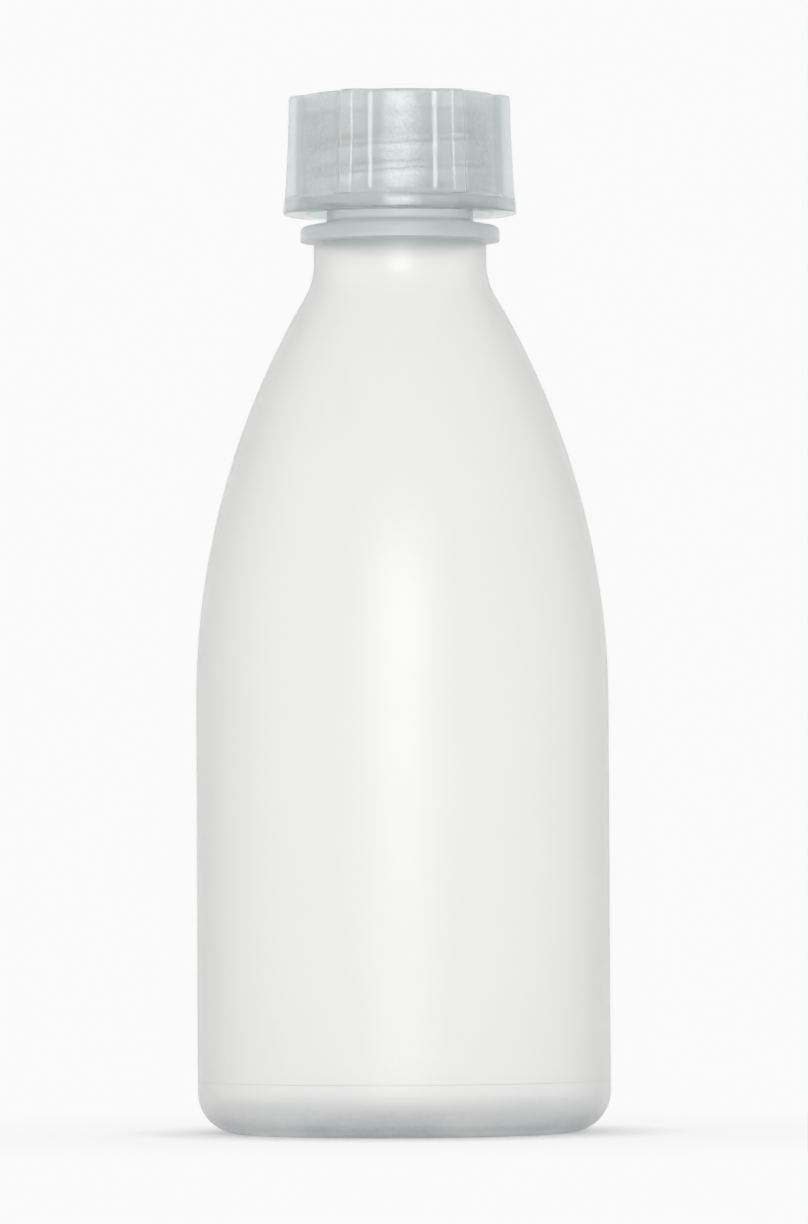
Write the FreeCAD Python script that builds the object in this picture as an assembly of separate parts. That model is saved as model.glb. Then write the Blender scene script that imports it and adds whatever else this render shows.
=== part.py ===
import FreeCAD, Part
import math
import os

# Narrow-neck laboratory bottle with a ribbed screw cap, in millimetres.
# +Z is up, the bottle stands on Z = 0 about the Z axis, and -Y is its front.

# Bottle body, a blown shell of even wall
body_radius = 30.5
straight_side_top = 63.5
base_corner_radius = 6.0
standing_ring_width = 3.5
base_rise = 1.8
wall = 1.2
base_wall = 1.5

# Shoulder and neck below the flange
shoulder_radius = 118.7
neck_fillet_radius = 9.5
neck_radius = 12.73
neck_height = 3.23

# Neck finish: flange, threaded core and lip
flange_overhang = 2.04
flange_edge_height = 2.19
flange_slope_deg = 11.0
flange_edge_round = 0.9
core_radius = 10.85
core_height = 16.21
mouth_wall = 1.65
lip_round = 0.4
throat_round = 1.5

# Screw thread that the neck and the cap share, which sets the cap's bore
thread_depth = 1.5
thread_clearance = 0.4

# Sealing disc under the cap's top plate
disc_thickness = 1.6
disc_clearance = 0.35
disc_edge_round = 0.2

# Screw cap
cap_flange_gap = 1.11
top_plate = 1.0
top_crown = 0.4
top_edge_round = 0.5
skirt_wall = 1.61
skirt_draft_deg = 1.5
mouth_chamfer = 1.2
collar_height = 2.3
collar_overhang = 2.4
collar_flare = 0.23
collar_edge_round = 0.35
ledge_fillet = 0.9

# Grip ribs on the cap
rib_count = 6
rib_height_top = 2.06
rib_height_foot = 2.33
rib_bow = 0.16
rib_face_width = 1.8
rib_root_width = 5.28
rib_top_drop = 0.12
rib_top_round = 0.6
rib_sink = 0.4
grip_turn_deg = 1.6

# Levels and radii that follow from the sizes above
shoulder_centre = (body_radius - shoulder_radius, straight_side_top)
neck_fillet_r = neck_radius + neck_fillet_radius
centre_distance = shoulder_radius + neck_fillet_radius
centre_rise = math.sqrt(centre_distance ** 2 - (neck_fillet_r - shoulder_centre[0]) ** 2)
neck_fillet_centre = (neck_fillet_r, straight_side_top + centre_rise)
flange_bottom = neck_fillet_centre[1] + neck_height
flange_radius = neck_radius + flange_overhang
flange_edge_top = flange_bottom + flange_edge_height
flange_top = flange_edge_top + (flange_radius - core_radius) * math.tan(math.radians(flange_slope_deg))
lip_level = flange_top + core_height
mouth_radius = core_radius - mouth_wall
cap_bore = core_radius + thread_depth + thread_clearance
cap_bottom = flange_top + cap_flange_gap
plate_underside = lip_level + disc_thickness
cap_edge = plate_underside + top_plate
collar_top = cap_bottom + collar_height
skirt_top_radius = cap_bore + skirt_wall
skirt_foot_radius = skirt_top_radius + (cap_edge - collar_top) * math.tan(math.radians(skirt_draft_deg))
collar_radius = skirt_foot_radius + collar_overhang
rib_top_level = cap_edge - rib_top_drop
rib_top_radius = skirt_top_radius + rib_height_top
rib_foot_radius = skirt_foot_radius + rib_height_foot


def at(r, z):
    """Point of an outline at radius r and height z."""
    return FreeCAD.Vector(r, 0, z)


def segment(start, end):
    """Straight edge between two (r, z) points."""
    return Part.LineSegment(at(*start), at(*end)).toShape()


def arc(start, middle, end):
    """Round edge through three (r, z) points."""
    return Part.Arc(at(*start), at(*middle), at(*end)).toShape()


def arc_about(centre, radius, start, end):
    """Shorter round edge about a centre, between the directions of two (r, z) points."""
    first = math.atan2(start[1] - centre[1], start[0] - centre[0])
    last = math.atan2(end[1] - centre[1], end[0] - centre[0])
    turn = (last - first + math.pi) % (2 * math.pi) - math.pi
    on_arc = []
    for share in (0, 0.5, 1):
        angle = first + turn * share
        on_arc.append((centre[0] + radius * math.cos(angle), centre[1] + radius * math.sin(angle)))
    return arc(*on_arc)


def dome(top, rim):
    """Shallow round edge from a point on the axis to a rim, level on the axis."""
    rise = top[1] - rim[1]
    radius = (rim[0] ** 2 + rise ** 2) / (2 * rise)
    return arc_about((0, top[1] - radius), abs(radius), top, rim)


def rounded(corners):
    """Edges through (r, z, round) corners, each rounded by its own radius, with sharp ends."""
    edges = []
    here = corners[0][:2]
    for before, corner, after in zip(corners, corners[1:], corners[2:]):
        point = at(*corner[:2])
        back = (at(*before[:2]) - point).normalize()
        ahead = (at(*after[:2]) - point).normalize()
        if corner[2] == 0:
            edges.append(segment(here, corner[:2]))
            here = corner[:2]
            continue
        half_angle = back.getAngle(ahead) / 2
        reach = corner[2] / math.tan(half_angle)
        inward = (back + ahead).normalize()
        middle = point + inward * (corner[2] / math.sin(half_angle) - corner[2])
        start = point + back * reach
        end = point + ahead * reach
        edges.append(segment(here, (start.x, start.z)))
        edges.append(arc((start.x, start.z), (middle.x, middle.z), (end.x, end.z)))
        here = (end.x, end.z)
    edges.append(segment(here, corners[-1][:2]))
    return edges


def turned(edges):
    """Solid of revolution about Z of a closed outline."""
    outline = Part.Wire(Part.__sortEdges__(edges))
    return Part.Face(outline).revolve(at(0, 0), FreeCAD.Vector(0, 0, 1), 360)


def shoulder_edges(inset):
    """Shoulder and neck fillet, drawn in by an inset, and their two end points."""
    blend = (
        shoulder_centre[0] + (neck_fillet_centre[0] - shoulder_centre[0]) * shoulder_radius / centre_distance,
        shoulder_centre[1] + (neck_fillet_centre[1] - shoulder_centre[1]) * shoulder_radius / centre_distance,
    )
    side = (body_radius - inset, straight_side_top)
    neck = (neck_radius - inset, neck_fillet_centre[1])
    shoulder = arc_about(shoulder_centre, shoulder_radius - inset, side, blend)
    fillet = arc_about(neck_fillet_centre, neck_fillet_radius + inset, blend, neck)
    return [shoulder, fillet], side, neck


def bottle():
    """Base, body, shoulder and neck finish as one shell."""
    ring_outer = body_radius - base_corner_radius
    ring_inner = ring_outer - standing_ring_width
    outside, side, neck = shoulder_edges(0)
    inside, inner_side, inner_neck = shoulder_edges(wall)
    edges = outside + inside
    edges.append(dome((0, base_rise), (ring_inner, 0)))
    edges += rounded([(ring_inner, 0, 0), (body_radius, 0, base_corner_radius), (*side, 0)])
    edges += rounded([
        (*neck, 0),
        (neck_radius, flange_bottom, 0),
        (flange_radius, flange_bottom, 0),
        (flange_radius, flange_edge_top, flange_edge_round),
        (core_radius, flange_top, 0),
        (core_radius, lip_level, lip_round),
        (mouth_radius, lip_level, lip_round),
        (mouth_radius, flange_top, throat_round),
        (inner_neck[0], flange_bottom - wall, throat_round),
        (*inner_neck, 0),
    ])
    edges += rounded([
        (*inner_side, 0),
        (inner_side[0], base_wall, base_corner_radius - wall),
        (ring_inner, base_wall, 0),
    ])
    edges.append(dome((0, base_rise + base_wall), (ring_inner, base_wall)))
    edges.append(segment((0, base_rise), (0, base_rise + base_wall)))
    return turned(edges)


def sealing_disc():
    """Flat liner between the lip of the neck and the cap's top plate."""
    radius = cap_bore - disc_clearance
    return turned(rounded([
        (0, lip_level, 0),
        (radius, lip_level, disc_edge_round),
        (radius, plate_underside, disc_edge_round),
        (0, plate_underside, 0),
        (0, lip_level, 0),
    ]))


def cap_core():
    """Cap without its ribs: top plate, drafted skirt and collar round an open bore."""
    edges = rounded([
        (0, plate_underside, 0),
        (cap_bore, plate_underside, 0),
        (cap_bore, cap_bottom + mouth_chamfer, 0),
        (cap_bore + mouth_chamfer, cap_bottom, 0),
        (collar_radius + collar_flare, cap_bottom, collar_edge_round),
        (collar_radius, collar_top, collar_edge_round),
        (skirt_foot_radius, collar_top, ledge_fillet),
        (skirt_top_radius, cap_edge, top_edge_round),
        (skirt_top_radius - 2 * top_edge_round, cap_edge, 0),
    ])
    edges.append(dome((0, cap_edge + top_crown), (skirt_top_radius - 2 * top_edge_round, cap_edge)))
    edges.append(segment((0, plate_underside), (0, cap_edge + top_crown)))
    return turned(edges)


def rib_section(level, root_radius, face_radius):
    """Six-sided section of one rib on the X axis: wide root, slanted flanks, narrow face."""
    inner = root_radius - skirt_wall / 2
    outer = face_radius + rib_height_foot
    root = math.sqrt(root_radius ** 2 - (rib_root_width / 2) ** 2)
    half = [
        (inner, rib_root_width / 2),
        (root, rib_root_width / 2),
        (face_radius, rib_face_width / 2),
        (outer, rib_face_width / 2),
    ]
    both = half + [(x, -y) for x, y in reversed(half)]
    points = [FreeCAD.Vector(x, y, level) for x, y in both]
    return Part.makePolygon(points + points[:1])


def rib_envelope():
    """Ring that all ribs fill: its outside is their bowed faces and rounded top corners."""
    foot_level = collar_top - rib_sink
    inner = skirt_top_radius - skirt_wall / 2
    middle = ((rib_top_radius + rib_foot_radius) / 2 - rib_bow, (rib_top_level + collar_top) / 2)
    shoulder = (rib_top_radius, rib_top_level - 2 * rib_top_round)
    edges = [arc((rib_foot_radius, collar_top), middle, shoulder)]
    edges += rounded([
        (*shoulder, 0),
        (rib_top_radius, rib_top_level, rib_top_round),
        (inner, rib_top_level, 0),
        (inner, foot_level, 0),
        (rib_foot_radius, foot_level, 0),
        (rib_foot_radius, collar_top, 0),
    ])
    return turned(edges)


def grip_ribs():
    """Six tapered ribs, flared towards the collar, with a recess facing the front."""
    foot = rib_section(collar_top - rib_sink, skirt_foot_radius, rib_foot_radius)
    top = rib_section(cap_edge, skirt_top_radius, rib_top_radius)
    blank = Part.makeLoft([foot, top], True, True)
    rib = blank.common(rib_envelope())
    ribs = []
    for number in range(rib_count):
        copy = rib.copy()
        angle = -90 + grip_turn_deg + (number + 0.5) * 360 / rib_count
        copy.rotate(at(0, 0), FreeCAD.Vector(0, 0, 1), angle)
        ribs.append(copy)
    return ribs


def screw_cap():
    """Cap with its grip ribs as one moulding."""
    return cap_core().fuse(grip_ribs()).removeSplitter()


def main():
    """Build each piece and write it to its own file."""
    os.makedirs("parts", exist_ok=True)
    pieces = {"bottle": bottle(), "sealing_disc": sealing_disc(), "screw_cap": screw_cap()}
    for name, shape in pieces.items():
        solid = shape.Solids[0]
        print(name, len(shape.Solids), shape.isValid(), round(solid.Volume, 1), shape.BoundBox)
        solid.exportStep("parts/" + name + ".step")


main()
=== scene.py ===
import logging
import math
from abc import ABC, abstractmethod
from dataclasses import dataclass
from enum import Enum
from typing import Any, ClassVar

import bpy
import numpy as np
from bpy.types import NodeSocket, NodeTree
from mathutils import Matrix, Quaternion, Vector


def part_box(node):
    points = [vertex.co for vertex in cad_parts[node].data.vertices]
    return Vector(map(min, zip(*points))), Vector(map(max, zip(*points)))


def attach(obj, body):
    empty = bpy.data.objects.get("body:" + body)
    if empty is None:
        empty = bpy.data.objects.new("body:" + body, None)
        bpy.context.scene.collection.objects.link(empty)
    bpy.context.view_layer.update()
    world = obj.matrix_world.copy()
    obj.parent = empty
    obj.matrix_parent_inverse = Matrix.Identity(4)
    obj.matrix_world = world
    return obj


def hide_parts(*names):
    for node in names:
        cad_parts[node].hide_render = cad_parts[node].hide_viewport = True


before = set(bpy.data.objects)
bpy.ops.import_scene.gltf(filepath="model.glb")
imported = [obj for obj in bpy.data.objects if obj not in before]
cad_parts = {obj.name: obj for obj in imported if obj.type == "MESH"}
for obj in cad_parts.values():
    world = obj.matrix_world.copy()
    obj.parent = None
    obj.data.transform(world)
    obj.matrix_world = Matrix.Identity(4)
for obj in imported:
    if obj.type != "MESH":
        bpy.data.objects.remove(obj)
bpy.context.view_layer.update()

# Narrow-neck laboratory bottle of natural polyethylene with a ribbed screw cap.
# Sizes of the pieces are in millimetres, on the axes of the CAD frame: +Z up, -Y the front.

LOG = logging.getLogger("lab_bottle")
MM = 0.001
FULL_TURN = 2 * math.pi
# Lengths in millimetres that differ by less than this count as the same.
SAME = 0.01
# Middle value of a noise texture.
NOISE_MIDDLE = 0.5

Point = tuple[float, float]
Corner = tuple[float, float, float]
Feeds = dict[str | int, Any]
Marks = dict[str, np.ndarray]


def extent_of(node: str) -> tuple[float, float, float]:
    """Largest radius about the axis, lowest and highest level of a CAD node in millimetres."""
    least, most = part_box(node)
    return most.x / MM, least.z / MM, most.z / MM


def linear(colour: str) -> tuple[float, float, float, float]:
    """Turn an sRGB hex colour into linear RGBA.

    Args:
        colour: hex digits such as "#EDEDEB".

    Returns:
        Linear red, green and blue with an alpha of 1.
    """
    shares = [int(colour[i:i + 2], 16) / 255 for i in (1, 3, 5)]
    red, green, blue = (s / 12.92 if s <= 0.04045 else ((s + 0.055) / 1.055) ** 2.4 for s in shares)
    return red, green, blue, 1.0


def add_object(name: str, data: bpy.types.ID) -> bpy.types.Object:
    """Put data into the scene.

    Args:
        name: name of the object.
        data: mesh, lamp or camera.

    Returns:
        The new object at the origin.
    """
    made = bpy.data.objects.new(name, data)
    bpy.context.scene.collection.objects.link(made)
    return made


def add_node(tree: NodeTree, kind: str, feeds: Feeds | None = None, **settings: Any) -> bpy.types.Node:
    """Add one node with its settings, and feed its inputs.

    Args:
        tree: node tree that gets the node.
        kind: type of the node.
        feeds: input name or number, with the socket or the constant that it takes.
        settings: properties of the node itself.

    Returns:
        The new node.
    """
    node = tree.nodes.new(kind)
    for name, value in settings.items():
        setattr(node, name, value)
    for key, value in (feeds or {}).items():
        if isinstance(value, NodeSocket):
            tree.links.new(value, node.inputs[key])
        else:
            node.inputs[key].default_value = value
    return node


class Outline:
    """Half section of a turned piece: a chain of (radius, height) points in millimetres."""

    def __init__(self, start: Point, step: float) -> None:
        """Start the chain at a point, with the longest step that a run may have."""
        self.points: list[Point] = [start]
        self.step = step

    def to(self, end: Point, step: float | None = None) -> None:
        """Run straight to a point.

        Args:
            end: radius and height of the run's end.
            step: longest step on this run, where it differs from the outline's.
        """
        start = np.array(self.points[-1])
        length = float(np.linalg.norm(np.array(end) - start))
        count = max(1, math.ceil(length / (step or self.step)))
        for share in np.linspace(0, 1, count + 1)[1:]:
            self.points.append(tuple(start + (np.array(end) - start) * share))

    def arc(self, centre: Point, end: Point, count: int) -> None:
        """Run round a centre, the shorter way, to the direction of an end point.

        Args:
            centre: centre of the arc.
            end: point that the arc ends at.
            count: number of steps.
        """
        start = np.array(self.points[-1]) - centre
        stop = np.array(end) - centre
        first = math.atan2(start[1], start[0])
        turn = (math.atan2(stop[1], stop[0]) - first + math.pi) % FULL_TURN - math.pi
        radius = float(np.linalg.norm(start))
        for share in np.linspace(0, 1, count + 1)[1:]:
            angle = first + turn * share
            self.points.append((centre[0] + radius * math.cos(angle), centre[1] + radius * math.sin(angle)))

    def dome(self, rim: Point, apex: Point, count: int) -> None:
        """Run over a shallow dome that is level on the axis, from whichever end is here to the other.

        Args:
            rim: point of the dome's edge.
            apex: point of the dome on the axis.
            count: number of steps.
        """
        rise = apex[1] - rim[1]
        radius = (rim[0] ** 2 + rise ** 2) / (2 * rise)
        here = self.points[-1]
        self.arc((0.0, apex[1] - radius), rim if here[0] == 0 else apex, count)

    def through(self, corners: list[Corner], arc_steps: int = 6) -> None:
        """Run through corners, each rounded by its own radius, to the last one.

        Args:
            corners: radius, height and rounding of each corner.
            arc_steps: steps of each rounding.
        """
        chain = [(*self.points[-1], 0.0), *corners]
        for before, corner, after in zip(chain, chain[1:], chain[2:]):
            point = np.array(corner[:2])
            if corner[2] == 0:
                self.to(tuple(point))
                continue
            back = np.array(before[:2]) - point
            ahead = np.array(after[:2]) - point
            back /= np.linalg.norm(back)
            ahead /= np.linalg.norm(ahead)
            half = math.acos(float(back @ ahead)) / 2
            inward = (back + ahead) / np.linalg.norm(back + ahead)
            self.to(tuple(point + back * corner[2] / math.tan(half)))
            centre = point + inward * corner[2] / math.sin(half)
            self.arc(tuple(centre), tuple(point + ahead * corner[2] / math.tan(half)), arc_steps)
        self.to(chain[-1][:2])

    def repeated(self, count: int) -> np.ndarray:
        """Stand the outline at a number of columns: radius and height by column and point."""
        return np.repeat(np.array(self.points)[None], count, axis=0)


def smooth_step(low: float, high: float, value: np.ndarray) -> np.ndarray:
    """Rise smoothly from 0 at low to 1 at high, which may be the smaller of the two."""
    share = np.clip((value - low) / (high - low), 0, 1)
    return share * share * (3 - 2 * share)


def soft_least(one: np.ndarray, other: np.ndarray, blend: float) -> np.ndarray:
    """Smaller of two lengths, with the corner between them rounded.

    Args:
        one: first length.
        other: second length.
        blend: difference within which the two run into each other.

    Returns:
        The rounded minimum.
    """
    share = np.clip(0.5 + 0.5 * (other - one) / blend, 0, 1)
    return other + (one - other) * share - blend * share * (1 - share)


class ThreadSide(Enum):
    """Which way a screw thread stands out of its wall."""

    OUTSIDE = 1
    INSIDE = -1


@dataclass(frozen=True)
class ScrewThread:
    """Right-hand moulded thread, given at its middle line.

    Lengths are in millimetres, and places along the thread in turns from where its line meets the level.
    """

    side: ThreadSide
    level: float
    first: float
    last: float
    pitch: float = 4.0
    depth: float = 1.5
    crest: float = 0.8
    foot: float = 2.1
    run_out: float = 0.14


class MouldingTree:
    """Geometry Nodes that repeat a sector about the axis, weld it and raise a screw thread on it."""

    # Distance in millimetres within which points are welded, and angle past which an edge stays sharp.
    WELD_GAP: ClassVar[float] = 0.002
    SHARP_DEG: ClassVar[float] = 38.0
    LENGTHS: ClassVar[tuple[str, ...]] = ("Weld gap", "Level", "Pitch", "Height", "Half crest", "Half foot")
    TURNS: ClassVar[tuple[str, ...]] = ("First", "Last", "Run-out")
    # Sums that find a point's place on the thread: result, operation and terms.
    SUMS: ClassVar[tuple[tuple[str, ...], ...]] = (
        ("angle", "ARCTAN2", "y", "x"),
        ("turned", "DIVIDE", "angle", "Full turn"),
        ("raised", "SUBTRACT", "z", "Level"),
        ("risen", "DIVIDE", "raised", "Pitch"),
        ("winding", "SUBTRACT", "risen", "turned"),
        ("nearest", "ROUND", "winding"),
        ("along", "ADD", "nearest", "turned"),
        ("missed", "SUBTRACT", "winding", "nearest"),
        ("share", "ABSOLUTE", "missed"),
        ("aside", "MULTIPLY", "share", "Pitch"),
        ("full from", "ADD", "First", "Run-out"),
        ("full to", "SUBTRACT", "Last", "Run-out"),
    )
    # Smooth rises from 0 to 1 that shape the thread: result, value, and where it is 0 and 1.
    RISES: ClassVar[tuple[tuple[str, str, str, str], ...]] = (
        ("ridge", "aside", "Half foot", "Half crest"),
        ("start", "along", "First", "full from"),
        ("end", "along", "Last", "full to"),
    )

    def __init__(self) -> None:
        """Build the tree."""
        self.tree = bpy.data.node_groups.new("turned_moulding", "GeometryNodeTree")
        self.sockets: dict[str, str] = {}
        face = self.tree.interface
        face.new_socket("Sector", in_out="INPUT", socket_type="NodeSocketGeometry")
        self._input("Copies", "NodeSocketInt")
        self._input("Plastic", "NodeSocketMaterial")
        for name in self.LENGTHS + self.TURNS:
            self._input(name, "NodeSocketFloat")
        face.new_socket("Moulding", in_out="OUTPUT", socket_type="NodeSocketGeometry")
        self.given = add_node(self.tree, "NodeGroupInput").outputs
        welded = self._repeat()
        threaded = add_node(self.tree, "GeometryNodeSetPosition", {
            "Geometry": welded, "Offset": self._thread(),
        })
        smooth = add_node(self.tree, "GeometryNodeSetShadeSmooth", {"Geometry": threaded.outputs[0]})
        dressed = add_node(self.tree, "GeometryNodeSetMaterial", {
            "Geometry": smooth.outputs[0], "Material": self.given["Plastic"],
        })
        add_node(self.tree, "NodeGroupOutput", {0: dressed.outputs[0]})

    def _input(self, name: str, kind: str) -> None:
        """Add a named input and keep its identifier."""
        self.sockets[name] = self.tree.interface.new_socket(name, in_out="INPUT", socket_type=kind).identifier

    def _repeat(self) -> NodeSocket:
        """Turn copies of the sector about the axis and weld them.

        Returns:
            The closed moulding.
        """
        copies = self.given["Copies"]
        spots = add_node(self.tree, "GeometryNodeMeshLine", {"Count": copies, "Offset": (0, 0, 0)})
        number = add_node(self.tree, "GeometryNodeInputIndex").outputs[0]
        step = add_node(self.tree, "ShaderNodeMath", {0: FULL_TURN, 1: copies}, operation="DIVIDE")
        angle = add_node(self.tree, "ShaderNodeMath", {0: number, 1: step.outputs[0]}, operation="MULTIPLY")
        turn = add_node(self.tree, "FunctionNodeAxisAngleToRotation", {
            "Axis": (0, 0, 1), "Angle": angle.outputs[0],
        })
        placed = add_node(self.tree, "GeometryNodeInstanceOnPoints", {
            "Points": spots.outputs[0],
            "Instance": self.given["Sector"],
            "Rotation": turn.outputs[0],
        })
        real = add_node(self.tree, "GeometryNodeRealizeInstances", {"Geometry": placed.outputs[0]})
        return add_node(self.tree, "GeometryNodeMergeByDistance", {
            "Geometry": real.outputs[0], "Distance": self.given["Weld gap"],
        }).outputs[0]

    def _thread(self) -> NodeSocket:
        """Work out how far each point of the threaded wall moves.

        Returns:
            Offset of a point, away from the axis for a height above 0.
        """
        spot = add_node(self.tree, "GeometryNodeInputPosition").outputs[0]
        x, y, z = add_node(self.tree, "ShaderNodeSeparateXYZ", {0: spot}).outputs
        wall = add_node(self.tree, "GeometryNodeInputNamedAttribute", {"Name": "thread"}, data_type="FLOAT")
        known: dict[str, Any] = {"x": x, "y": y, "z": z, "Full turn": FULL_TURN}
        known |= {name: self.given[name] for name in self.sockets}
        for result, operation, *terms in self.SUMS:
            feeds = {number: known[term] for number, term in enumerate(terms)}
            known[result] = add_node(self.tree, "ShaderNodeMath", feeds, operation=operation).outputs[0]
        rise = wall.outputs[0]
        for result, value, low, high in self.RISES:
            known[result] = add_node(self.tree, "ShaderNodeMapRange", {
                "Value": known[value], "From Min": known[low], "From Max": known[high],
            }, interpolation_type="SMOOTHSTEP").outputs[0]
        for factor in ("ridge", "start", "end", "Height"):
            feeds = {0: rise, 1: known[factor]}
            rise = add_node(self.tree, "ShaderNodeMath", feeds, operation="MULTIPLY").outputs[0]
        flat = add_node(self.tree, "ShaderNodeCombineXYZ", {"X": x, "Y": y}).outputs[0]
        away = add_node(self.tree, "ShaderNodeVectorMath", {0: flat}, operation="NORMALIZE").outputs[0]
        moved = add_node(self.tree, "ShaderNodeVectorMath", {0: away, "Scale": rise}, operation="SCALE")
        return moved.outputs[0]

    def mould(
        self,
        name: str,
        sector: bpy.types.Mesh,
        plastic: bpy.types.Material,
        copies: int,
        thread: ScrewThread | None,
    ) -> bpy.types.Object:
        """Run the tree on a sector and keep the result as a plain mesh.

        Args:
            name: name of the piece.
            sector: mesh of one sector, with its place in it.
            plastic: finish of the piece.
            copies: number of sectors in a turn.
            thread: screw thread on the wall that the sector marks, if it has one.

        Returns:
            The finished object at the origin.
        """
        piece = add_object(name, sector)
        wound = thread or ScrewThread(ThreadSide.OUTSIDE, 0, 0, 0, depth=0)
        height = wound.depth * wound.side.value
        lengths = (self.WELD_GAP, wound.level, wound.pitch, height, wound.crest / 2, wound.foot / 2)
        values = {key: length * MM for key, length in zip(self.LENGTHS, lengths)}
        values |= dict(zip(self.TURNS, (wound.first, wound.last, wound.run_out)))
        values |= {"Copies": copies, "Plastic": plastic}
        nodes = piece.modifiers.new("moulding", "NODES")
        nodes.node_group = self.tree
        for key, value in values.items():
            nodes[self.sockets[key]] = value
        graph = bpy.context.evaluated_depsgraph_get()
        moulded = piece.evaluated_get(graph)
        done = bpy.data.meshes.new_from_object(moulded, preserve_all_data_layers=True, depsgraph=graph)
        piece.modifiers.remove(nodes)
        piece.data = done
        bpy.data.meshes.remove(sector)
        done.name = name
        done.set_sharp_from_angle(angle=math.radians(self.SHARP_DEG))
        return piece


def sector_mesh(name: str, angles: np.ndarray, columns: np.ndarray, marks: Marks) -> bpy.types.Mesh:
    """Make the skin of a sector from outlines that stand at angles about the axis.

    Args:
        name: name of the mesh.
        angles: angle of each column in radians, rising.
        columns: radius and height in millimetres, by column and point.
        marks: named values by column and point, which the nodes read.

    Returns:
        The mesh, open where the next sector is welded on.
    """
    radius, height = columns[..., 0] * MM, columns[..., 1] * MM
    across = np.cos(angles)[:, None] * radius
    deep = np.sin(angles)[:, None] * radius
    points = np.stack([across, deep, height], axis=-1).reshape(-1, 3)
    count, rows = radius.shape
    numbers = np.arange(count * rows).reshape(count, rows)
    faces = np.stack([numbers[:-1, :-1], numbers[1:, :-1], numbers[1:, 1:], numbers[:-1, 1:]], axis=-1)
    mesh = bpy.data.meshes.new(name)
    mesh.from_pydata(points.tolist(), [], faces.reshape(-1, 4).tolist())
    for mark, values in marks.items():
        layer = mesh.attributes.new(mark, "FLOAT", "POINT")
        layer.data.foreach_set("value", np.ascontiguousarray(values, dtype=np.float32).ravel())
    return mesh


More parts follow.
